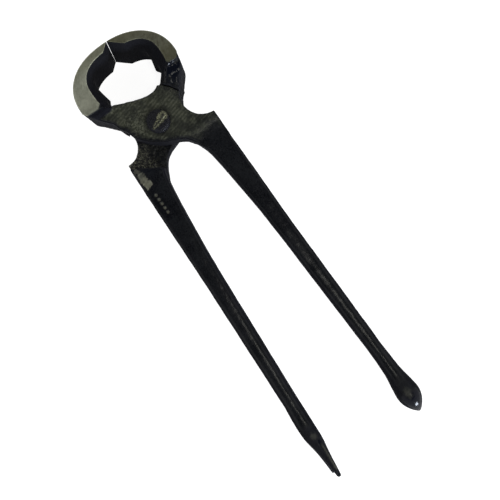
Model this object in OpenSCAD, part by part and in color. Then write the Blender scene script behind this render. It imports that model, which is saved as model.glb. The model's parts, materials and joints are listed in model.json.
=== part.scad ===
// Forged farrier's pincers: two crossed arms on one rivet.
// The tool lies on its side: +Y runs from the handle ends to the cutting edges, +Z is up.
// Every sub-part is drawn about the rivet axis at the tool's middle plane, then placed by tool_frame().

/* [Head] */
// Rivet axis to the cutting edges
jaw_reach = 55.5; // [54:0.5:58]
// Outside width of the closed jaws
head_w = 68; // [66:1:71]
// Length of the cutting edges, which is the tool's greatest thickness
jaw_t = 30; // [26:1:34]
// Width of the mouth between the side faces of the jaws
mouth_w = 49; // [47:0.5:50]
// Width of the mouth at the middle plane, where the jaws are stoutest
mouth_mid_w = 37; // [34:1:42]

/* [Joint] */
// Thickness of the two lapped halves together
lap_t = 20; // [18:0.5:22]
// Radius of each lapped half
lap_r = 22; // [21.5:0.1:22.2]
// Radius of the finger notch beside the joint
notch_r = 13.3; // [12.8:0.1:13.6]
// Gap between the lapped faces
lap_gap = 0.1; // [0.05:0.05:0.3]
// Diameter of the rivet's shank
rivet_d = 10; // [8:0.5:11]
// Diameter of the rivet's heads
rivet_head_d = 15; // [14:0.5:17]
// Height of the rivet's heads
rivet_head_h = 2.8; // [2:0.1:3.5]

/* [Handles] */
// Rivet axis to the tip of the ball handle
ball_reach = 239.5; // [230:0.5:245]
// Rivet axis to the tip of the claw handle
claw_reach = 243; // [236:0.5:250]
// Handle width at its slimmest, above the ball
grip_w = 10.4; // [9.5:0.1:11.5]
// Handle thickness at its slimmest
grip_t = 10; // [9:0.1:11]
// Diameter of the ball
ball_d = 15.5; // [13:0.5:17]
// Width of the claw across its two tines
claw_w = 15; // [13:0.5:17]
// Turn of the claw about its handle, as forged
claw_twist = 15; // [0:1:20]

/* [Hidden] */
$fn = 64;

black_lacquer = [0.11, 0.11, 0.12];
worn_steel = [0.38, 0.37, 0.34];

half_t = jaw_t / 2;
plate_t = lap_t / 2;
edge_gap = 0.18;                    // between the cutting edges, where they cross the middle plane
shoulder_r = lap_r + 0.5;           // arc that the other arm's lapped half turns in
shoulder_reach = 27;                // rivet axis to the handle's step down into the lap
shoulder_angle = -59.6;             // direction in which that step faces away from the rivet
rivet_clearance = 0.05;             // radial, where the ball arm turns on the rivet
head_seat_gap = 0.05;               // under each rivet head
rivet_rim_h = 0.6;                  // straight rim of each rivet head, below its dome
through = 60;                       // longer than the tool is thick
neck_y = -200;                      // where the plain handles end and the ball and the claw begin

// Closed head: a rounded oblong about this level, with its own power below it
head_level = 29;
heel_power = 2.05;
// Mouth: a squarer oblong that tapers towards its floor
mouth_foot = 14.5;
mouth_power = 2.6;
mouth_mid_power = 1.4;              // added to the power at the middle plane
mouth_taper = 0.0115;               // loss of width per mm, towards the floor at the middle plane
mouth_taper_level = 38;
// Inner bevel that brings each jaw to its edge: how far back and how far down it is cut
bevel_w = 8;
bevel_drop = 7;
edge_land = 0.3;                    // flat left below the very edge
// Finger notch in the jaw: its centre beside the rivet
notch_x = 31.6;
notch_y = 0.3;

// The two forgings differ a little, as forged and ground by hand: ball arm first, then claw arm
BALL = 0;
CLAW = 1;
lean = [1.1, -1.1];                 // how far the head leans outwards
head_power = [2.3, 2.15];           // of the head's oblong above its level
heel = [[-23.5, 14], [-24.8, 12.8]]; // corner where the head's lower outline meets the notch
heel_angle = 49;
mouth_top = [51, 48.8];
edge_turn = [4.6, 5.1];             // of the plane that the jaws meet on
// Finger notch in the handle: centre and radius
handle_notch = [[notch_x, notch_y, notch_r], [30.3, 3, 11.8]];
grip_slim = [0.35, 0];              // taken off each side of the handle below the shoulder

// Where the lying tool's footprint is centred
ball_side = 40.23;
claw_side = 38.27;
pivot_x = (claw_side - ball_side) / 2;
pivot_y = (claw_reach - jaw_reach) / 2;

// ---- curves ----

function last(list) = list[len(list) - 1];

function power(v, n) = sign(v) * pow(abs(v), n);

// Point of a rounded oblong of half widths a and b at angle t
function oblong(a, b, n, t) = [a * power(cos(t), 2 / n), b * power(sin(t), 2 / n)];

// Value at x of the smooth curve through the points of a table of [x, value], x falling
function between(table, x, i = 0) =
    x >= table[0][0] ? table[0][1]
    : i >= len(table) - 1 ? last(table)[1]
    : x >= table[i + 1][0] ? hermite(table, i, (table[i][0] - x) / (table[i][0] - table[i + 1][0]))
    : between(table, x, i + 1);

function slope(table, i) =
    let (a = table[max(i - 1, 0)], b = table[min(i + 1, len(table) - 1)])
    (b[1] - a[1]) / (a[0] - b[0]);

function hermite(table, i, t) =
    let (span = table[i][0] - table[i + 1][0])
    (2 * t ^ 3 - 3 * t ^ 2 + 1) * table[i][1] + (t ^ 3 - 2 * t ^ 2 + t) * span * slope(table, i)
    + (3 * t ^ 2 - 2 * t ^ 3) * table[i + 1][1] + (t ^ 3 - t ^ 2) * span * slope(table, i + 1);

// Smooth curve through a list of points, with some steps between each pair
function curve(points, steps = 4) =
    let (spans = len(points) - 1)
    [for (i = [0:spans - 1], k = [0:steps - 1])
        let (t = k / steps,
             a = points[max(i - 1, 0)], b = points[i], c = points[i + 1], d = points[min(i + 2, spans)])
        0.5 * (2 * b + (c - a) * t + (2 * a - 5 * b + 4 * c - d) * t ^ 2 + (3 * b - a - 3 * c + d) * t ^ 3),
     last(points)];

// ---- outlines, seen from above ----

module head_outline(arm) {
    corner = heel[arm];
    far = 60;
    difference() {
        translate([-lean[arm], head_level])
            polygon([for (t = [0:5:355])
                oblong(head_w / 2, jaw_reach - head_level, sin(t) > 0 ? head_power[arm] : heel_power, t)]);
        // straight heel
        polygon([corner, corner + far * [-cos(heel_angle), sin(heel_angle)], [-far, far],
                 [-far, corner[1] - 5], corner + [1.5, -5]]);
    }
}

// The jaw's notch on the left and the handle's on the right
module notch_outlines(arm) {
    translate([-notch_x, notch_y]) circle(notch_r);
    translate([handle_notch[arm][0], handle_notch[arm][1]]) circle(handle_notch[arm][2]);
}

// Lower edge of the lapped half, from the left notch round to the right handle's inner edge
crotch = [[-18.3, 0.3], [-11, -7.5], [-4, -12.6], [1.5, -14.6], [4.9, -16.2], [8, -18.2], [10.4, -21.2],
          [12.6, -25], [14.8, -30]];
// Floor of the mouth, from the left jaw to the far side of the lapped half
mouth_floor = [[-19, 25.5], [-14.5, 22.7], [-6, 19.4], [3, 17], [9.5, 17.6], [16, 22]];
handle_inner_x = [[-17, 7.6], [-21.5, 11.2], [-28, 14.4], [-34, 15.6], [-47, 17.2], [-72, 19.6],
                  [-90, 21], [-122, 22.7], [-153, 24.3], [-184, 25.9], [neck_y, 26.7]];
handle_outer_x = [[-12.8, 31.6], [-60, 33.1], [-90, 33.7], [-122, 34.7], [-153, 35.7],
                  [-184, 36.6], [neck_y, 37.1]];
lap_end = -30;                      // how far down the handle the lapped half reaches

module above_mouth_floor(top) {
    polygon([each curve(mouth_floor), [last(mouth_floor)[0], top], [mouth_floor[0][0], top]]);
}

// The lapped half of the arm whose jaw is on the left and whose handle is on the right
module lap_outline(arm) {
    far = 40;
    // outer end of the notch, where the handle begins with a sharp corner
    spur = [between(handle_outer_x, -20), handle_notch[arm][1] - handle_notch[arm][2]];
    difference() {
        union() {
            circle(lap_r);
            polygon([[14, 2], [20, 2], spur, [between(handle_outer_x, lap_end), lap_end],
                     last(crotch), [0, -10]]);
            intersection() {
                head_outline(arm);
                translate([-far, 0]) square([far, 24]);
            }
        }
        notch_outlines(arm);
        // below the crotch
        polygon([each curve(crotch), [last(crotch)[0], -far], [-far, -far], [-far, crotch[0][1]]]);
        above_mouth_floor(far);
    }
}

// ---- solids about the rivet ----

// Skin over rings of equally many points, closed at both ends
module skin(rings) {
    m = len(rings[0]);
    ends = len(rings) - 1;
    polyhedron(
        points = [for (ring = rings) each ring],
        faces = [
            [for (i = [0:m - 1]) i],
            [for (i = [m - 1:-1:0]) ends * m + i],
            for (k = [0:ends - 1], i = [0:m - 1])
                [k * m + i, (k + 1) * m + i, (k + 1) * m + (i + 1) % m, k * m + (i + 1) % m]
        ]);
}

// Ring across a handle at level y: centre x, half widths across and up, roundness, and turn
function handle_ring(y, x, w, t, n, turn = 0, count = 24) =
    [for (i = [0:count - 1])
        let (p = oblong(w, t, n, 360 * i / count))
        [x + p[0] * cos(turn) - p[1] * sin(turn), y, p[0] * sin(turn) + p[1] * cos(turn)]];

thickness = [[-14, 9.6], [-30, 8], [-50, 6.8], [-90, 6], [-130, 5.5], [neck_y, grip_t / 2]];
squareness = [[-14, 9], [-60, 5], [-110, 3.2], [-160, 2.4], [neck_y, 2.1]];

function handle_mid(y) = (between(handle_inner_x, y) + between(handle_outer_x, y)) / 2;
function handle_half(y) = (between(handle_outer_x, y) - between(handle_inner_x, y)) / 2;

function handle_rings(levels, slim) =
    [for (y = levels)
        let (taken = slim * min(1, max(0, (-40 - y) / 40)))
        handle_ring(y, handle_mid(y), handle_half(y) - taken, between(thickness, y), between(squareness, y))];

root_levels = [-8.5, -12, -15, -18, -20, -22, -25, -28, -32, -36, -41, -47, -54, -62, -72, -84, -98,
               -114, -132, -152, -174, -190];

// Ball end: half width by level below the handle
ball_profile = [[neck_y, grip_w / 2], [-208, grip_w / 2 + 0.3], [-215, ball_d / 2 - 1.4],
                [-220, ball_d / 2 - 0.6], [-225.5, ball_d / 2], [-229, ball_d / 2 - 0.4],
                [-232.5, ball_d / 2 - 1.7], [-236, ball_d / 2 - 3.9], [-238.3, ball_d / 2 - 5.9],
                [-ball_reach, 0.5]];
ball_x = 32.5;

module ball_handle() {
    levels = [neck_y, -204, -208, -212, -215, -218, -221, -224, -226.5, -229, -231, -233, -235, -236.8,
              -238.3, -ball_reach];
    neck_x = handle_mid(neck_y);
    skin([each handle_rings(root_levels, grip_slim[BALL]),
          for (y = levels)
              let (r = between(ball_profile, y),
                   done = min(1, (neck_y - y) / 22))
              handle_ring(y, neck_x + (ball_x - neck_x) * done, r, r * (0.96 + 0.04 * done), 2)]);
}

// Claw end: half width in the tool's plane, and half width across the tines
claw_thin = [[neck_y, 5.7], [-210, 5.6], [-217, 5], [-221, 4.2], [-226, 3.3], [-232, 2.5],
             [-claw_reach, 1.6]];
claw_wide = [[neck_y, 5.2], [-212, 5.6], [-224, claw_w / 2 - 0.9], [-234, claw_w / 2],
             [-claw_reach, claw_w / 2 - 0.8]];
claw_x = [[neck_y, 32.2], [-210, 32.6], [-220, 32.5], [-232, 32.8], [-claw_reach, 33.2]];
slot_mouth = 7.2;
slot_root_r = 1.4;
slot_depth = 13;

module claw_handle() {
    levels = [neck_y, -204, -208, -212, -216, -220, -224, -228, -232, -236, -239.5, -claw_reach];
    tip_x = between(claw_x, -claw_reach);
    difference() {
        skin([each handle_rings(root_levels, grip_slim[CLAW]),
              for (y = levels)
                  let (done = min(1, (neck_y - y) / 20))
                  handle_ring(y, between(claw_x, y), between(claw_thin, y), between(claw_wide, y),
                              2.1 + 1.4 * done, -claw_twist * done)]);
        // nail slot between the tines
        translate([tip_x, 0, 0]) rotate([0, claw_twist, 0]) rotate([90, 0, 90])
            translate([0, 0, -12]) linear_extrude(24) {
                translate([-claw_reach + slot_depth, 0]) circle(slot_root_r);
                polygon([[-claw_reach + slot_depth, slot_root_r], [-claw_reach - 1, slot_mouth / 2 + 0.2],
                         [-claw_reach - 1, -slot_mouth / 2 - 0.2], [-claw_reach + slot_depth, -slot_root_r]]);
            }
    }
}

// Side view of the head and lap. Above, the jaw drops steeply to the flat face of the lapped half;
// below, it falls to the rivet in rounded steps.
module side_profile() {
    above = [[jaw_reach + 2, half_t], [24.6, half_t], [23.2, half_t - 1.4], [22, plate_t + 1],
             [20.8, plate_t], [-15, plate_t], [-24, 8.5], [-34, 7.4]];
    below = [[-34, -7.4], [-24, -8.5], [-15, -plate_t], [7.5, -plate_t], [9.5, -plate_t - 0.9],
             [13.6, -plate_t - 1.2], [15, -plate_t - 2], [18.4, -plate_t - 2.4], [19.8, -plate_t - 3.3],
             [22, -plate_t - 3.7], [23.6, -half_t], [jaw_reach + 2, -half_t]];
    rotate([90, 0, 90]) translate([0, 0, -60]) linear_extrude(120) polygon(concat(above, below));
}

// The hollow between the jaws, narrower and squarer at the middle plane than at the side faces
module mouth(arm) {
    steps = 7;
    level = (mouth_top[arm] + mouth_foot) / 2;
    skin([for (i = [-steps:steps])
        let (rise = pow(abs(i) / steps, 1.5),
             half_w = (mouth_mid_w + (mouth_w - mouth_mid_w) * rise) / 2,
             z = i / steps * (half_t + 0.5),
             x = z * tan(edge_turn[arm]) - lean[arm] / 2)
        [for (t = [0:6:354])
            let (p = oblong(half_w, mouth_top[arm] - level, mouth_power + mouth_mid_power * (1 - rise), t),
                 y = level + p[1])
            [x + p[0] * (1 + mouth_taper * (1 - rise) * (y - mouth_taper_level)), y, z]]]);
}

// Everything beyond the plane that the jaws meet on, and the inner bevel that brings the jaw to an edge
module meeting_plane(arm) {
    far = 60;
    rotate([0, edge_turn[arm], 0]) translate([-edge_gap / 2, 0, -far / 2]) linear_extrude(far)
        polygon([[0, -far], [far, -far], [far, far], [0, far], [0, jaw_reach - edge_land],
                 [-bevel_w, jaw_reach - bevel_drop], [-bevel_w, head_level], [0, head_level]]);
}

module jaw(arm) {
    difference() {
        intersection() {
            translate([0, 0, -half_t]) linear_extrude(jaw_t) difference() {
                head_outline(arm);
                notch_outlines(arm);
            }
            side_profile();
        }
        mouth(arm);
        meeting_plane(arm);
        // room for the other arm's lapped half
        translate([0, 0, -half_t - 1]) cylinder(h = half_t + 1 + lap_gap / 2, r = shoulder_r, $fn = 96);
        // floor of the mouth
        translate([0, 0, -half_t - 1]) linear_extrude(jaw_t + 2)
            above_mouth_floor(head_level + 1);
    }
}

module lapped_half(arm) {
    intersection() {
        translate([0, 0, lap_gap / 2]) linear_extrude(plate_t) lap_outline(arm);
        side_profile();
    }
}

// Cuts the handle down to the lapped half's level, as far as the step
module lap_step() {
    translate([0, 0, lap_gap / 2 - 40]) linear_extrude(40) rotate(shoulder_angle)
        translate([-60, -60]) square([60 + shoulder_reach, 120]);
}

// One arm without its bore: jaw on the left, handle on the right, lapped half above the middle plane
module forging(arm) {
    jaw(arm);
    lapped_half(arm);
    difference() {
        children();
        lap_step();
        translate([0, 0, -through / 2]) linear_extrude(through) notch_outlines(arm);
    }
}

module tool_frame() {
    translate([pivot_x, pivot_y, half_t]) children();
}

// ---- sub-parts ----

module ball_arm() {
    color(black_lacquer) tool_frame() difference() {
        forging(BALL) ball_handle();
        translate([0, 0, -through / 2]) cylinder(h = through, d = rivet_d + 2 * rivet_clearance);
    }
}

module claw_arm() {
    color(black_lacquer) tool_frame() rotate([0, 180, 0]) difference() {
        forging(CLAW) claw_handle();
        translate([0, 0, -through / 2]) cylinder(h = through, d = rivet_d);
    }
}

module pivot_rivet() {
    seat = plate_t + head_seat_gap;
    dome_h = rivet_head_h - rivet_rim_h;
    dome_r = (pow(rivet_head_d / 2, 2) + pow(dome_h, 2)) / (2 * dome_h);
    color(worn_steel) tool_frame() union() {
        translate([0, 0, -seat]) cylinder(h = 2 * seat, d = rivet_d);
        for (side = [0, 180]) rotate([side, 0, 0]) translate([0, 0, seat]) intersection() {
            cylinder(h = rivet_head_h, d = rivet_head_d);
            translate([0, 0, rivet_head_h - dome_r]) sphere(dome_r, $fn = 96);
        }
    }
}

ball_arm();
claw_arm();
pivot_rivet();
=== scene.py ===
"""Forged farrier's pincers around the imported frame: rough black lacquer, ground jaws, a rubbed
joint face and a hand-peened rivet.

Lengths are millimetres unless a name says otherwise. "Own" coordinates are those of the ball arm
about the rivet's axis, at the tool's middle plane: Y runs towards the jaws, the jaw is at -X and
the handle at +X. The claw arm is nearly the same forging turned half round its Y axis, so one
rule in own coordinates serves both arms. A mask is a number from 0 to 1 at each point.
"""
import json
import math

import bmesh
import bpy
import numpy as np
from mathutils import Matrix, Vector, kdtree, noise


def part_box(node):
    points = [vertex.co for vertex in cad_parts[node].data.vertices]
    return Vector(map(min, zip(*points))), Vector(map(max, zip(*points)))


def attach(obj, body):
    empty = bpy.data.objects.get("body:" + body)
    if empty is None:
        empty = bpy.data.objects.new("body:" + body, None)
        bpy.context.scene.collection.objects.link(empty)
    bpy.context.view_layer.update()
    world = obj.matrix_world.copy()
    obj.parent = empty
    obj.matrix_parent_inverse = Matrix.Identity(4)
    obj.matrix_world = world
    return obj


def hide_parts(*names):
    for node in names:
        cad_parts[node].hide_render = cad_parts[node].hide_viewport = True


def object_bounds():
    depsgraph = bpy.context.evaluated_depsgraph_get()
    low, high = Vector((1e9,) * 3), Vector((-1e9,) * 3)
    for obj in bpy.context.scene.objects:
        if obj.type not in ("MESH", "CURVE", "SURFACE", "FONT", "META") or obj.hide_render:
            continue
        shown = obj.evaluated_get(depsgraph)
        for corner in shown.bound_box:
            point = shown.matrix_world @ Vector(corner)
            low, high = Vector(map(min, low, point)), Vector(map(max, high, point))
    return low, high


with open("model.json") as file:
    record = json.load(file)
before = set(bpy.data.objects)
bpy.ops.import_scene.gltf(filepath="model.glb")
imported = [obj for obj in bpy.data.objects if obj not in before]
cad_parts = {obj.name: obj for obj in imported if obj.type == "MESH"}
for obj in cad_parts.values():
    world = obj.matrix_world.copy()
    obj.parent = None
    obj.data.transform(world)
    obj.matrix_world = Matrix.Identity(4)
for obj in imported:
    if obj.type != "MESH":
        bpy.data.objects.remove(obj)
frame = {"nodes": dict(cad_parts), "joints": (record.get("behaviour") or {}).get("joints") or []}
cad_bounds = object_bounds()

MM = 0.001
PIVOT = np.array(frame["joints"][0]["pos_m"])
BODY = {"ball_arm": "ball_side", "claw_arm": "claw_side", "pivot_rivet": "claw_side"}
TURN = {"ball_arm": np.array([1, 1, 1]), "claw_arm": np.array([-1, 1, -1])}

# the CAD model's sizes
HALF_T = (cad_bounds[1][2] - cad_bounds[0][2]) / MM / 2      # half the length of the cutting edges
JAW_REACH = (cad_bounds[1][1] - PIVOT[1]) / MM               # rivet axis to the cutting edges
PLATE_T = 10                       # height of each lapped half's flat face
LAP_R = 22                         # radius of each lapped half
TURN_GAP = 0.5                     # clearance between a lapped half and the other's shoulder
ROOT_TOP = 25.5                    # Y up to which the jaw's root is rough
HEEL, HEEL_LOW = 24.6, 23.7        # Y where the jaws' side faces end, above and below
HEEL_IN, HEEL_OUT = 25.5, 30.5     # X inside and outside which those ends climb
SHANK_R = 5                        # radius of the rivet's shank
HANDLE_END = -208                  # Y where a handle turns into its ball or claw
BALL_LEVEL = -222                  # Y where the polished ball begins
KNEE, INNER_EDGE, TINE_TIPS = -203, -214, -239     # Y of the claw's parts

# the forged surface
VOXEL = 0.5            # grid of the skin
GRID_STEPS, FORGE_STEPS, ROOT_STEPS = 4, 9, 24     # smoothing: everywhere, as forged, at the root
LUMPS = 0.22           # depth of the hammer's low places
GRAIN = 0.07           # depth of the forging scale's grain
PITS = 0.4             # depth of the cast-like pits beside the joint
ROOT_BLOWS = 0.4       # depth of the hammer's blows on the jaw's root
HEEL_DROP = 0.7        # how far the forged surface lies under the ground side faces
RIM_DROP = 0.7         # how far the joint face rolls off at its border
FILED = 0.25           # depth of the filed flat

# single marks, in own X and Y
FILED_LINE = (29.0, -13.2), (27.2, -27.4)      # the filed flat, from its narrow to its broad end
DOTS_FROM, DOTS_LEAN, DOT_PITCH, DOT_COUNT = (26.9, -35.6), 0.05, 3.1, 5
DOT_R, DOT_DEPTH = 1.15, 0.6
TINE_EDGE = (29.8, -217.8), (30.7, -237.0)     # the upper tine's inner edge, where a highlight is painted
CLAW_SPOT = 31.4, -212.7                       # a lighter spot on the claw, and a painted highlight on the ball
BALL_HIGHLIGHT_SPOT = 32.0, -223.0
CRACK = (-3.2, -3.2), (5.4, -0.6)              # across the rivet's crowns
RUBBED_LINE = (-3.6, -2.2), (4.6, 1.0)         # the rivet's bright patch, narrow to broad end

# the rivet's head: its section as shares of the CAD head's radius and height
CROWN = [(0, 0.80), (0.2, 0.83), (0.4, 0.92), (0.58, 1.0), (0.72, 0.96), (0.85, 0.78), (0.94, 0.5),
         (0.985, 0.2)]
CROWN_FOOT = 0.95                  # its radius where it sits on the joint face
CROWN_STEPS, AROUND = 6, 120       # rings from one row of the list to the next, points in a ring
SEAT_GAP = 0.06                    # between the head and the joint face
BLOW_DEPTH, CRACK_DEPTH = 0.35, 0.4

# light, as radiance, and the camera
LACQUER_SPECULAR = 0.09
FLOOR_GLOW = 0.9                   # the paper is lit from beneath too, so its shadows are faint
ZENITH, SKY, HORIZON = 0.12, 1.5, 1.1      # overhead, around the tool and at floor level
LAMP, WINDOW = 16.5, 62.0
LIT = (30, -170, 5)                # from the rivet: the middle of the handles, which lamps face
FLOOR_REACH_M = 3.0
EYE = (3.1, -93.8, 315.6)          # from the rivet: the camera
EYE_TURN = (-0.45, 0.04, -34.49)   # its rotation in degrees
SENSOR, FOCAL = 36, 1.0064         # its focal length is a share of the picture's width


# ---- reading and writing meshes ----

def placed(name, data):
    """A new object in the scene."""
    obj = bpy.data.objects.new(name, data)
    bpy.context.scene.collection.objects.link(obj)
    return obj


def vertices(mesh):
    co = np.zeros(len(mesh.vertices) * 3)
    mesh.vertices.foreach_get("co", co)
    return co.reshape(-1, 3)


def normals(mesh):
    out = np.zeros(len(mesh.vertices) * 3)
    mesh.vertex_normals.foreach_get("vector", out)
    return out.reshape(-1, 3)


def set_vertices(mesh, co):
    mesh.vertices.foreach_set("co", co.ravel())
    mesh.update()


def own_points(mesh, node):
    return (vertices(mesh) - PIVOT) / MM * TURN[node]


def smoothstep(low, high, x):
    """0 up to low, 1 from high on, smooth between; it falls instead where low is above high."""
    t = np.clip((x - low) / (high - low), 0, 1)
    return t * t * (3 - 2 * t)


def fractal(points, size, seed, octaves=3):
    """Smooth noise between about -1 and 1 at each point, with features of the given size."""
    shift = Vector((seed * 17.3, seed * 5.1, seed * 9.7))
    return np.array([noise.fractal(Vector(p) / size + shift, 0.6, 2.1, octaves) for p in points])


def hollows(values):
    """Turns noise into a depth from 0 to 1."""
    return 0.5 - 0.5 * values


def segment_distance(x, y, start, end):
    """Distance from points to a line segment, and how far along it they lie, from 0 to 1."""
    ax, ay = end[0] - start[0], end[1] - start[1]
    along = np.clip(((x - start[0]) * ax + (y - start[1]) * ay) / (ax * ax + ay * ay), 0, 1)
    return np.hypot(x - start[0] - ax * along, y - start[1] - ay * along), along


def border_distance(points, face, border):
    """Distance from each point of a face to the nearest point of its border; far elsewhere."""
    tree = kdtree.KDTree(int(border.sum()))
    for i, p in enumerate(points[border]):
        tree.insert(p, i)
    tree.balance()
    out = np.full(len(points), 99.0)
    for i in np.flatnonzero(face):
        out[i] = tree.find(points[i])[2]
    return out


def weight(obj, name, values):
    """Makes a vertex group of the values, in steps of a tenth."""
    group = obj.vertex_groups.new(name=name)
    levels = np.round(values, 1)
    for level in np.unique(levels):
        if level > 0:
            group.add(np.flatnonzero(levels == level).tolist(), float(level), "REPLACE")


def attribute(mesh, name, values):
    """Keeps the values on the mesh's points, for its material to read."""
    data = mesh.attributes.new(name, "FLOAT", "POINT").data
    data.foreach_set("value", np.asarray(values, dtype=np.float32))


def applied(obj):
    """Bakes the object's modifiers into its mesh."""
    graph = bpy.context.evaluated_depsgraph_get()
    mesh = bpy.data.meshes.new_from_object(obj.evaluated_get(graph))
    obj.modifiers.clear()
    obj.data = mesh


def shown(obj, body, node, material):
    """Makes an object a finished piece that rides a body in place of a CAD node."""
    mesh = obj.data
    mesh.polygons.foreach_set("use_smooth", [True] * len(mesh.polygons))
    mesh.materials.clear()
    mesh.materials.append(material)
    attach(obj, body)
    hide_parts(node)


# ---- the skin of a forging ----

def forged_copy(node, name):
    """The node's solid as one even skin of small quads."""
    mesh = frame["nodes"][node].data.copy()
    mesh.materials.clear()
    joined = bmesh.new()
    joined.from_mesh(mesh)
    bmesh.ops.remove_doubles(joined, verts=joined.verts, dist=1e-6)
    joined.to_mesh(mesh)
    joined.free()
    obj = placed(name, mesh)
    remesh = obj.modifiers.new("skin", "REMESH")
    remesh.mode = "VOXEL"
    remesh.voxel_size = VOXEL * MM
    applied(obj)
    return obj


def jaw_root(x, y, z):
    """The low part of the jaw's root, rough from the hammer, outside the other arm's half."""
    outside = smoothstep(LAP_R + 0.8, LAP_R + 2.5, np.hypot(x, y))
    return smoothstep(-8, -10, z) * smoothstep(ROOT_TOP, ROOT_TOP - 2.5, y) * outside


def handle_end(y):
    """The ball or the claw, which is drawn finer than the handle."""
    return smoothstep(HANDLE_END, HANDLE_END - 8, y)


def machined_faces(x, y, z):
    """Side faces, cutting edge, lapped faces and bore, where the CAD surface is kept exactly."""
    radius = np.hypot(x, y)
    side_face = smoothstep(HALF_T - 1.2, HALF_T - 0.4, np.abs(z)) * smoothstep(21, 23, y)
    edge = smoothstep(5, 3, np.abs(x)) * smoothstep(49, 51, y)
    lap = smoothstep(1.5, 0.6, np.abs(z)) * smoothstep(26, 24, radius)
    turning = smoothstep(1.3, 0.7, np.abs(radius - LAP_R - TURN_GAP / 2)) * smoothstep(4, 8, y)
    bore = smoothstep(7.5, 6.5, radius)
    return np.maximum.reduce([side_face, edge, lap, turning, bore])


def smoothing(obj, name, steps, group=""):
    smooth = obj.modifiers.new(name, "SMOOTH")
    smooth.factor = 0.5
    smooth.iterations = steps
    smooth.vertex_group = group


def smoothed(obj, node):
    """Rounds the grid's steps away, and gives back the faces that take no hammering."""
    x, y, z = own_points(obj.data, node).T
    machined = machined_faces(x, y, z)
    plate = smoothstep(PLATE_T - 0.8, PLATE_T - 0.3, z)
    plate = plate * smoothstep(-22, -18, y) * smoothstep(24, 23, y)
    weight(obj, "soft", (1 - 0.9 * machined) * (1 - 0.6 * handle_end(y)))
    weight(obj, "machined", machined)
    weight(obj, "root", jaw_root(x, y, z - 6))
    smoothing(obj, "steps", GRID_STEPS)
    smoothing(obj, "forging", FORGE_STEPS, "soft")
    smoothing(obj, "root", ROOT_STEPS, "root")
    wrap = obj.modifiers.new("ground", "SHRINKWRAP")
    wrap.target = frame["nodes"][node]
    wrap.wrap_method = "NEAREST_SURFACEPOINT"
    wrap.vertex_group = "machined"
    applied(obj)
    return np.maximum(machined, 0.85 * plate)


def sharpen_edge(obj, node):
    """Draws the skin out to the CAD's cutting edge, which is finer than the grid."""
    corners = own_points(frame["nodes"][node].data, node)
    ends = []
    for side in (-1, 1):
        at_end = (corners[:, 1] > JAW_REACH - 0.6) & (corners[:, 2] * side > HALF_T - 0.1)
        near = corners[at_end]
        ends.append(near[np.argmax(near[:, 0])])
    own = own_points(obj.data, node)
    share = np.clip((own[:, 2] - ends[0][2]) / (ends[1][2] - ends[0][2]), 0, 1)
    line = ends[0] + (ends[1] - ends[0]) * share[:, None]
    gap = line - own
    pull = smoothstep(0.8, 0.3, np.linalg.norm(gap, axis=1))
    own += gap * pull[:, None]
    set_vertices(obj.data, own * TURN[node] * MM + PIVOT)


# ---- masks and depths on a forging ----

class Skin:
    """The points of one arm's skin in own coordinates, and the noise that its marks share."""

    def __init__(self, mesh, node, seed):
        self.points = own_points(mesh, node)
        self.x, self.y, self.z = self.points.T
        self.radius = np.hypot(self.x, self.y)
        self.facing = normals(mesh) * TURN[node]
        self.up = self.facing[:, 2]
        self.level = np.abs(self.up)
        self.claw = node == "claw_arm"
        self.seed = seed
        self.drift = fractal(self.points, 9, seed)
        self.grain = fractal(self.points, 2.2, seed + 1)

    def noise(self, size, number):
        return fractal(self.points, size, self.seed + number)


def above_heel(s):
    """Distance in Y from the ragged line at the jaw's heel where the ground side faces end."""
    out = np.abs(s.x)
    line = np.where(s.z < 0, HEEL_LOW, HEEL) + 0.8 * np.maximum(0, HEEL_IN - out) + 0.4 * s.drift
    line += (s.z < 0) * 1.2 * np.maximum(0, out - HEEL_OUT)
    return s.y - line


def ground_faces(s):
    """The jaw's two side faces."""
    ground = smoothstep(HALF_T - 0.7, HALF_T - 0.35, np.abs(s.z)) * smoothstep(0.75, 0.9, s.level)
    ground *= smoothstep(0.2, 1.0, above_heel(s))
    if s.claw:
        ground *= 1 - 0.3 * smoothstep(35, 27, s.y)
    return ground


def outer_face(s):
    """The part of the joint face beside the other arm's jaw root, where scale is left."""
    near_root = smoothstep(15, 21.5, s.radius + 1.5 * s.grain)
    near_root = near_root * smoothstep(0, 6, s.y) * smoothstep(4, 11, s.x)
    near_root *= smoothstep(PLATE_T - 2, PLATE_T - 1, s.z)
    return near_root


def joint_face(s):
    """Where the milled face is rubbed to metal, and how deep its border rolls off."""
    top = PLATE_T - np.maximum(0, -15 - s.y) / 6
    plate = smoothstep(top - 0.9, top - 0.5, s.z) * smoothstep(0.7, 0.93, s.up)
    border = (s.up < 0.75) & (np.abs(s.z - PLATE_T) < 2) & (s.radius > 8)
    to_border = border_distance(s.points, plate > 0, border)
    # the border away from the mouth is broad and rolls off, and stays black
    border_w = 1.0 + 2.6 * smoothstep(0, 10, -0.7 * s.x - 0.7 * s.y)
    inside = to_border / border_w
    rolled = RIM_DROP * (border_w > 1.5) * np.clip(1 - inside, 0, 1) ** 2
    plate *= smoothstep(0.25, 1.0, inside + 0.25 * s.grain)
    # black also towards the handle and in part at the outer side, and darker round the rivet as a
    # painted shadow of its head
    handle_side = smoothstep(-24, -7, s.y + 4 * s.drift) * smoothstep(25, 23, s.y)
    plate *= handle_side * (1 - 0.45 * smoothstep(10, 28, s.x))
    # painted shadow: a darker ring on the joint face round the rivet's head
    plate *= 1 - 0.45 * smoothstep(10, 7.8, s.radius)
    plate *= 1 - 0.7 * outer_face(s)
    return plate, rolled


def pitted_floor(s):
    """The floor of the step beside the joint, where the other arm's shoulder sweeps over."""
    pitted_and_lit = smoothstep(1.2, 0.6, np.abs(s.z)) * smoothstep(0.6, 0.9, -s.up)
    pitted_and_lit *= smoothstep(0, -6, s.y) * smoothstep(3, 7, s.x)
    return pitted_and_lit


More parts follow.
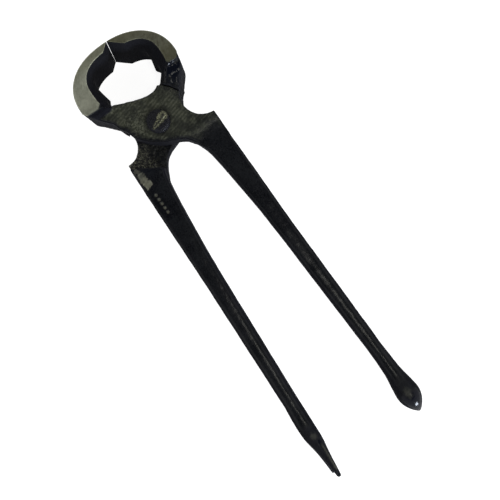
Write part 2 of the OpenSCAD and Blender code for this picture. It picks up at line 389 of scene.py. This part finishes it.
def bare_scale(s, root, pitted_and_lit):
    """Dull scale, its grey partly painted light: in the step, faint on the root, and on the outer part
    of the joint face.
    """
    in_step = pitted_and_lit * (0.14 + 0.86 * smoothstep(13, 20, s.x))
    on_root = 0.1 * (root * smoothstep(LAP_R + 8, LAP_R + 1, s.radius))
    return np.maximum.reduce([in_step, on_root, 0.35 * outer_face(s)])


def forging_depth(s, machined, root, pitted_and_lit, pebbled, rolled):
    """How far the hammer, the scale and the pits sink the skin under the CAD surface."""
    depth = (1 - machined) * (LUMPS * hollows(s.noise(12, 2)) + GRAIN * hollows(s.grain))
    depth *= 1 - 0.5 * handle_end(s.y)
    depth += PITS * pitted_and_lit * smoothstep(-0.1, 0.5, s.noise(1.5, 4))
    depth += root * ROOT_BLOWS * hollows(np.clip(1.5 * s.noise(4.5, 3), -1, 1))
    beyond_heel = smoothstep(0.5, -0.7, above_heel(s))
    depth += HEEL_DROP * beyond_heel * smoothstep(HALF_T - 2.5, HALF_T - 1, np.abs(s.z))
    depth += rolled
    depth += 0.4 * PITS * pebbled * smoothstep(0.0, 0.6, s.noise(1.2, 5))
    return depth


def filed_flat(s, ragged):
    """The flat cut with a file on the claw arm's handle: its cut, and the metal bright in it."""
    off, along = segment_distance(s.x, s.y, *FILED_LINE)
    outline = off - 1.1 - 1.4 * along + 1.1 * s.grain + ragged
    cut = smoothstep(0.35, -0.35, outline) * smoothstep(-3, -5, s.z)
    return cut, cut * (0.2 + 0.65 * smoothstep(0.35, 0.95, along + 0.35 * ragged))


def punched_dots(s):
    """A row of plain dots in the claw arm's handle, beyond the filed flat."""
    dots = []
    for i in range(DOT_COUNT):
        across = s.x - DOTS_FROM[0] + DOTS_LEAN * i
        down = s.y - DOTS_FROM[1] + DOT_PITCH * i
        dots.append(smoothstep(DOT_R, 0.35 * DOT_R, np.hypot(across, down)))
    return np.maximum.reduce(dots) * smoothstep(-3, -5, s.z)


def claw_edge_highlight_and_spot(s, ragged):
    """A painted highlight along the upper tine's inner edge, and a lighter spot just before it."""
    off, along = segment_distance(s.x, s.y, *TINE_EDGE)
    line = smoothstep(1.0, 0.2, off + 0.3 * ragged) * smoothstep(0, -3, s.z)
    line = line * smoothstep(0.0, 0.2, along)
    off = np.hypot(s.x - CLAW_SPOT[0], s.y - CLAW_SPOT[1])
    spot = 0.10 * smoothstep(3.2, 0.6, off + 1.2 * s.grain) * smoothstep(0, -3, s.z)
    return np.maximum(0.15 * line, spot)


def ball_top_highlight(s):
    """A painted highlight on top, where the handle meets the ball."""
    off = np.hypot((s.x - BALL_HIGHLIGHT_SPOT[0]) / 1.2, (s.y - BALL_HIGHLIGHT_SPOT[1]) / 2.2)
    return 0.09 * smoothstep(2.4, 0.4, off + 0.9 * s.grain) * smoothstep(0, 3, s.z)


def handle_marks(s):
    """Bare metal and painted highlights on a handle, and the depth of what was cut into it."""
    if not s.claw:
        return ball_top_highlight(s), 0
    ragged = s.noise(1.6, 6)
    cut, bright = filed_flat(s, ragged)
    dots = punched_dots(s)
    bare_and_sheen = np.maximum.reduce([bright, 0.35 * dots, claw_edge_highlight_and_spot(s, ragged)])
    return bare_and_sheen, FILED * cut + DOT_DEPTH * dots


def gloss(s, root):
    """Where the lacquer is smooth, and where it shines; the dull-scaled sides are also painted as
    shade.
    """
    handled_and_lit = smoothstep(0.7, 0.95, s.level)
    if s.claw:
        # dull from the claw's knee on, but its inner edge and the tips of its tines shine
        handled_and_lit *= 1 - 0.75 * smoothstep(KNEE, KNEE - 6, s.y)
        inner = smoothstep(INNER_EDGE, INNER_EDGE - 4, s.y) * smoothstep(0.1, 0.3, -s.facing[:, 0])
        glossy = np.minimum(1, inner + smoothstep(TINE_TIPS, TINE_TIPS - 2, s.y))
    else:
        handled_and_lit *= 1 - 0.6 * smoothstep(HANDLE_END, HANDLE_END - 12, s.y)
        glossy = smoothstep(0, -4, s.y - BALL_LEVEL)
    glossy *= smoothstep(0.55, 0.8, s.level + 0.1 * s.grain)
    on_root = root * smoothstep(-0.6, 0.2, s.drift) * smoothstep(0.3, 0.85, s.level + 0.1 * s.grain)
    glossy = np.maximum(glossy, on_root)
    return np.maximum(handled_and_lit, glossy), glossy


def arm(node, name, seed, material):
    """One forging, with its marks cut into the skin and its masks kept for the material."""
    obj = forged_copy(node, name)
    machined = smoothed(obj, node)
    sharpen_edge(obj, node)
    mesh = obj.data
    s = Skin(mesh, node, seed)

    plate, rolled = joint_face(s)
    pebbled = plate * smoothstep(11, 5, np.hypot(s.x + 11, s.y - 6))
    pitted_and_lit = pitted_floor(s)
    root = jaw_root(s.x, s.y, s.z)
    bare_and_sheen, cut = handle_marks(s)
    handled_and_lit, glossy = gloss(s, root)
    depth = forging_depth(s, machined, root, pitted_and_lit, pebbled, rolled) + cut
    set_vertices(mesh, vertices(mesh) - normals(mesh) * (depth * MM)[:, None])

    attribute(mesh, "ground", ground_faces(s))
    attribute(mesh, "plate", plate)
    attribute(mesh, "pitted_and_lit", bare_scale(s, root, pitted_and_lit))
    attribute(mesh, "pebbled", pebbled)
    attribute(mesh, "tip", smoothstep(42, 54, s.y) + s.claw * smoothstep(37, 28, s.y))
    attribute(mesh, "bare_and_highlight", bare_and_sheen)
    # the upward faces: smoother, and painted lighter than the shaded sides
    attribute(mesh, "handled_and_lit", handled_and_lit)
    attribute(mesh, "glossy", glossy)
    shown(obj, BODY[node], node, material)


# ---- the rivet, peened over by hand ----

def rivet_section(head_r, seat, rise):
    """Radius and height along the rivet's outline, from the middle of one crown to the other's."""
    half = []
    for (r0, h0), (r1, h1) in zip(CROWN, CROWN[1:]):
        for k in range(CROWN_STEPS):
            t = k / CROWN_STEPS
            half.append(((r0 + (r1 - r0) * t) * head_r, seat + rise * (h0 + (h1 - h0) * t)))
    half.append((CROWN[-1][0] * head_r, seat + rise * CROWN[-1][1]))
    half += [(CROWN_FOOT * head_r, seat), (SHANK_R, seat), (SHANK_R, seat / 2)]
    return half + [(r, -h) for r, h in reversed(half)]


def lathe(section):
    """Points and faces of a closed solid turned about Z."""
    first, *rings, last = section
    angle = np.arange(AROUND) * 2 * math.pi / AROUND
    points = [(0, 0, first[1])]
    points += [(r * math.cos(a), r * math.sin(a), h) for r, h in rings for a in angle]
    points.append((0, 0, last[1]))
    faces = [(0, 1 + i, 1 + (i + 1) % AROUND) for i in range(AROUND)]
    for k in range(len(rings) - 1):
        a, b = 1 + k * AROUND, 1 + (k + 1) * AROUND
        for i in range(AROUND):
            j = (i + 1) % AROUND
            faces.append((a + i, b + i, b + j, a + j))
    end = len(points) - 1
    tail = end - AROUND
    faces += [(end, tail + (i + 1) % AROUND, tail + i) for i in range(AROUND)]
    return np.array(points), faces


def peen(points, seat, rise):
    """Hammers hollows, a crack and one tilted flat into each crown."""
    x, y = points[:, 0], points[:, 1]
    side = np.sign(points[:, 2])
    head = smoothstep(seat + 0.1, seat + 0.6, np.abs(points[:, 2]))
    blows = hollows(fractal(points, 3.2, seed=41, octaves=2))
    points[:, 2] -= side * head * (BLOW_DEPTH * blows)
    off, _ = segment_distance(x, y, *CRACK)
    crack = smoothstep(0.6, 0.1, off + 0.5 * fractal(points, 1.6, seed=45))
    points[:, 2] -= side * head * CRACK_DEPTH * crack
    flat = seat + 0.86 * rise + (0.07 * x - 0.16 * y)
    points[:, 2] = side * np.minimum(np.abs(points[:, 2]), flat)


def rubbed_crown(points, seat, rise):
    """The worn patch on each crown, with a dark line left along it."""
    off, along = segment_distance(points[:, 0], points[:, 1], *RUBBED_LINE)
    rubbed = smoothstep(0.5, -0.5, off - 1.1 - 1.6 * along + fractal(points, 1.6, seed=43))
    line = np.abs(off - 0.4 * along) + 0.4 * fractal(points, 1.1, seed=47)
    rubbed *= 1 - 0.9 * smoothstep(0.55, 0.1, line)
    return rubbed * smoothstep(seat + 0.4 * rise, seat + 0.6 * rise, np.abs(points[:, 2]))


def rivet(name, material):
    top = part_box("pivot_rivet")[1]
    seat = PLATE_T + SEAT_GAP
    rise = (top[2] - PIVOT[2]) / MM - seat
    points, faces = lathe(rivet_section((top[0] - PIVOT[0]) / MM, seat, rise))
    peen(points, seat, rise)
    mesh = bpy.data.meshes.new(name)
    mesh.from_pydata((points * MM + PIVOT).tolist(), [], faces)
    mesh.update()
    attribute(mesh, "bare_and_highlight", rubbed_crown(points, seat, rise))
    shown(placed(name, mesh), BODY["pivot_rivet"], "pivot_rivet", material)


# ---- shader nodes ----

def add(tree, kind, inputs=None, output=0, **settings):
    """Adds a shader node, sets or links its inputs, and gives back one output."""
    made = tree.nodes.new("ShaderNode" + kind)
    for name, value in settings.items():
        setattr(made, name, value)
    for key, value in (inputs or {}).items():
        if isinstance(value, bpy.types.NodeSocket):
            tree.links.new(value, made.inputs[key])
        else:
            made.inputs[key].default_value = value
    return made.outputs[output]


def mix_color(tree, share, a, b):
    a, b = ((*c, 1) if isinstance(c, tuple) else c for c in (a, b))
    return add(tree, "Mix", {0: share, 6: a, 7: b}, 2, data_type="RGBA")


def mix_value(tree, share, a, b):
    return add(tree, "Mix", {0: share, 2: a, 3: b}, 0, data_type="FLOAT")


def times(tree, a, b):
    return add(tree, "Math", {0: a, 1: b}, operation="MULTIPLY")


def plus(tree, a, b):
    return add(tree, "Math", {0: a, 1: b}, operation="ADD")


def weighted(tree, a, share_a, b, share_b):
    """The sum of two values, each times its share."""
    return plus(tree, times(tree, a, share_a), times(tree, b, share_b))


def ramp(tree, value, low, high):
    return add(tree, "MapRange", {"Value": value, "From Min": low, "From Max": high},
               interpolation_type="SMOOTHSTEP")


def speckle(tree, place, per_mm, detail=3.0):
    """Noise between 0 and 1 with about this many features to the millimetre."""
    return add(tree, "TexNoise", {"Vector": place, "Scale": per_mm, "Detail": detail})


def own_place(tree, stretch=(1, 1, 1), turn=0.0):
    """Object coordinates in millimetres, turned about Z and stretched for streaks."""
    where = add(tree, "TexCoord", output=3)
    turned = add(tree, "Mapping", {"Vector": where, "Rotation": (0, 0, math.radians(turn))})
    return add(tree, "Mapping", {"Vector": turned, "Scale": tuple(s / MM for s in stretch)})


def mask(tree, name):
    return add(tree, "Attribute", output=2, attribute_name=name)


def blank(name):
    mat = bpy.data.materials.new(name)
    mat.use_nodes = True
    return mat, mat.node_tree, mat.node_tree.nodes["Principled BSDF"]


def finish(tree, shader, color, rough, metal, height, depth_mm, specular):
    """Gives the shader its inputs: a node's output is linked, a number is set on the socket."""
    bump = add(tree, "Bump", {"Height": height, "Distance": depth_mm * MM, "Strength": 1.0})
    inputs = {"Base Color": color, "Roughness": rough, "Metallic": metal, "Normal": bump}
    for name, value in inputs.items():
        if isinstance(value, bpy.types.NodeSocket):
            tree.links.new(value, shader.inputs[name])
        else:
            shader.inputs[name].default_value = value
    shader.inputs["Specular IOR Level"].default_value = specular


# ---- materials ----

def lacquer(tree, place, fine):
    """Near black and mottled, duller on the sides and painted bluer and darker there as shade: its
    colour and roughness.
    """
    handled_and_lit, glossy = mask(tree, "handled_and_lit"), mask(tree, "glossy")
    mottle = weighted(tree, speckle(tree, place, 0.07), 0.35, speckle(tree, place, 1.5, 4.0), 0.65)
    mottle = ramp(tree, mottle, 0.32, 0.68)
    side = mix_color(tree, mottle, (0.0012, 0.0013, 0.0024), (0.0052, 0.0055, 0.0080))
    top = mix_color(tree, mottle, (0.0010, 0.0013, 0.0021), (0.0088, 0.0094, 0.0106))
    # painted shade: the sides take a darker, bluer copy of the lacquer than the upward faces
    color = mix_color(tree, handled_and_lit, side, top)
    color = mix_color(tree, glossy, color, (0.0024, 0.003, 0.0058))
    rough = mix_value(tree, handled_and_lit, 1.0, mix_value(tree, fine, 0.15, 0.30))
    return color, mix_value(tree, glossy, rough, 0.1)


def scale_color(tree, place, under):
    """Dull scale, olive where the lacquer has gone, over the colour under it, in a grey that is partly
    painted light.
    """
    pitted_and_lit = mask(tree, "pitted_and_lit")
    flecks = weighted(tree, speckle(tree, place, 1.2, 4.0), 0.6, speckle(tree, place, 0.3), 0.4)
    bare_and_sheen = times(tree, pitted_and_lit, ramp(tree, flecks, 0.46, 0.66))
    # painted light: the scale's grey is paler than the lacquer, lifting the step's floor out of its
    # shade
    color = mix_color(tree, pitted_and_lit, under, (0.011, 0.0115, 0.013))
    return mix_color(tree, bare_and_sheen, color, (0.105, 0.105, 0.078))


def milled_streaks(tree, place):
    """The cutter's broken streaks across the joint face, with pebbles beside the rivet."""
    across = own_place(tree, (0.5, 1, 1), -15)
    milled = add(tree, "TexWave", {"Vector": across, "Scale": 0.165, "Distortion": 2.0,
                                   "Detail": 2.0, "Detail Scale": 3.0}, 1, bands_direction="Y")
    broken = times(tree, milled, ramp(tree, speckle(tree, place, 0.25), 0.35, 0.55))
    pebbles = ramp(tree, speckle(tree, place, 1.1, 2.0), 0.4, 0.6)
    grainy = mix_value(tree, mask(tree, "pebbled"), speckle(tree, place, 0.6, 4.0), pebbles)
    return weighted(tree, broken, 0.24, grainy, 0.76)


def rubbed_face(tree, place, fine):
    """Where the joint face shows metal, in blotches between what is left of the lacquer."""
    plate = mask(tree, "plate")
    blotches = weighted(tree, speckle(tree, place, 0.22, 4.0), 0.9, fine, 0.3)
    rubbed = times(tree, plate, ramp(tree, blotches, 0.5, 0.72))
    return mix_value(tree, 0.35, rubbed, plate)


def ground_color(tree, place, sweep, dark, light):
    """Swept and patchy metal, olive towards the edges that the tip mask marks."""
    patches = weighted(tree, speckle(tree, place, 0.06, 2.0), 0.5, speckle(tree, place, 0.5), 0.5)
    uneven = ramp(tree, weighted(tree, sweep, 0.25, patches, 0.75), 0.35, 0.65)
    bright = mix_color(tree, uneven, dark, light)
    return mix_color(tree, times(tree, mask(tree, "tip"), 0.5), bright, (0.11, 0.105, 0.055))


def forging_material(name, ground_dark, ground_light):
    """Lacquer, scale, rubbed joint face, ground side faces, metal marks and painted highlights, one
    over the other.
    """
    mat, tree, shader = blank(name)
    place = own_place(tree)
    ground, bare_and_highlight = mask(tree, "ground"), mask(tree, "bare_and_highlight")
    fine = speckle(tree, place, 0.9)
    color, rough = lacquer(tree, place, fine)
    color = scale_color(tree, place, color)

    streaks = milled_streaks(tree, place)
    rubbed = rubbed_face(tree, place, fine)
    shade = ramp(tree, streaks, 0.25, 0.75)
    steel = mix_color(tree, shade, (0.040, 0.043, 0.031), (0.105, 0.110, 0.082))
    color = mix_color(tree, rubbed, color, steel)
    rough = mix_value(tree, rubbed, rough, 0.46)
    metal = times(tree, rubbed, 0.85)

    sweep = speckle(tree, own_place(tree, (0.25, 0.03, 0.3), 30), 6.0, 4.0)
    dull = speckle(tree, place, 0.16, 4.0)
    color = mix_color(tree, ground, color, ground_color(tree, place, sweep, ground_dark, ground_light))
    rough = mix_value(tree, ground, rough, mix_value(tree, dull, 0.34, 0.5))
    metal = mix_value(tree, ground, metal, 1.0)

    fresh = mix_color(tree, streaks, (0.14, 0.14, 0.10), (0.30, 0.30, 0.24))
    # bare metal from the file and the dots, and painted highlights on the claw's edge and the ball
    color = mix_color(tree, bare_and_highlight, color, fresh)
    rough = mix_value(tree, bare_and_highlight, rough, 0.42)
    metal = mix_value(tree, bare_and_highlight, metal, 1.0)

    grain = times(tree, speckle(tree, place, 1.6, 4.0), 0.35)
    worked = weighted(tree, streaks, times(tree, rubbed, 0.5), sweep, times(tree, ground, 0.25))
    height = plus(tree, grain, worked)
    finish(tree, shader, color, rough, metal, height, depth_mm=0.12, specular=LACQUER_SPECULAR)
    return mat


def rivet_material():
    mat, tree, shader = blank("peened_rivet")
    rubbed = mask(tree, "bare_and_highlight")
    fine = ramp(tree, speckle(tree, own_place(tree), 1.3, 4.0), 0.3, 0.7)
    black = mix_color(tree, fine, (0.002, 0.0022, 0.0034), (0.005, 0.0052, 0.008))
    steel = mix_color(tree, fine, (0.045, 0.048, 0.032), (0.165, 0.165, 0.112))
    color = mix_color(tree, rubbed, black, steel)
    rough = mix_value(tree, fine, 0.15, 0.45)
    finish(tree, shader, color, rough, rubbed, fine, depth_mm=0.15, specular=0.12)
    return mat


# ---- floor, light and camera ----

def resting_tilt():
    """The jaws' heel line, and the slope at which a floor through it also meets the handles."""
    forgings = ("ball_forging", "claw_forging")
    low = np.concatenate([vertices(bpy.data.objects[name].data) for name in forgings])
    heel_y = PIVOT[1] + HEEL_LOW * MM
    handles = low[low[:, 1] < heel_y - 50 * MM]
    return heel_y, (handles[:, 2] / (heel_y - handles[:, 1])).min()


def floor():
    heel_y, slope = resting_tilt()
    r = FLOOR_REACH_M
    corners = ((-r, -r), (r, -r), (r, r), (-r, r))
    mesh = bpy.data.meshes.new("floor")
    mesh.from_pydata([(x, y, (heel_y - y) * slope) for x, y in corners], [], [(0, 1, 2, 3)])
    obj = placed("floor", mesh)
    mat, tree, shader = blank("floor_paper")
    where = add(tree, "TexCoord", output=3)
    fibre = add(tree, "TexNoise", {"Vector": where, "Scale": 300.0})
    paper = mix_color(tree, fibre, (0.33, 0.33, 0.33), (0.37, 0.37, 0.37))
    finish(tree, shader, paper, 0.8, 0.0, fibre, depth_mm=0.02, specular=0.2)
    shader.inputs["Emission Color"].default_value = (1, 1, 1, 1)
    shader.inputs["Emission Strength"].default_value = FLOOR_GLOW
    mesh.materials.append(mat)


def studio():
    """White light all round, and dim overhead, where the tool's flat faces would mirror it."""
    world = bpy.data.worlds.new("studio")
    bpy.context.scene.world = world
    world.use_nodes = True
    tree = world.node_tree
    direction = add(tree, "TexCoord", output=0)
    up = add(tree, "SeparateXYZ", {"Vector": direction}, 2)
    low = mix_value(tree, ramp(tree, up, 0.0, 0.3), HORIZON, SKY)
    strength = mix_value(tree, ramp(tree, up, 0.62, 0.84), low, ZENITH)
    background = tree.nodes["Background"]
    background.inputs["Color"].default_value = (1, 1, 1, 1)
    tree.links.new(strength, background.inputs["Strength"])


def softbox(name, away, size, radiance, color):
    """A rectangular light that faces the handles; how far away, and its size, are in metres."""
    light = bpy.data.lights.new(name, "AREA")
    light.shape = "RECTANGLE"
    light.size, light.size_y = size
    light.energy = radiance * math.pi * size[0] * size[1]
    light.color = color
    target = Vector(PIVOT) + Vector(LIT) * MM
    obj = placed(name, light)
    obj.location = target + Vector(away)
    obj.rotation_euler = (target - obj.location).to_track_quat("-Z", "Y").to_euler()


def camera():
    optics = bpy.data.cameras.new("camera")
    optics.sensor_width = SENSOR
    optics.lens = SENSOR * FOCAL
    eye = placed("camera", optics)
    eye.location = Vector(PIVOT) + Vector(EYE) * MM
    eye.rotation_euler = tuple(math.radians(a) for a in EYE_TURN)
    bpy.context.scene.camera = eye
    bpy.context.scene.view_settings.view_transform = "Standard"


# partly painted reflection: the ball side's ground steel is brighter than the claw side's, standing in
# for the brighter light it reflects, and partly a different finish
ball_steel = forging_material("forging_ball_side", (0.26, 0.27, 0.21), (0.43, 0.44, 0.35))
claw_steel = forging_material("forging_claw_side", (0.095, 0.094, 0.064), (0.19, 0.19, 0.142))
arm("ball_arm", "ball_forging", 1, ball_steel)
arm("claw_arm", "claw_forging", 11, claw_steel)
rivet("rivet", rivet_material())
floor()
studio()
softbox("lamp_over_handles", (0.12, -0.30, 1.2), (0.16, 0.34), LAMP, (1.0, 0.98, 0.88))
softbox("low_window", (0.15, -1.5, 0.35), (0.5, 0.3), WINDOW, (0.80, 0.88, 1.0))
camera()
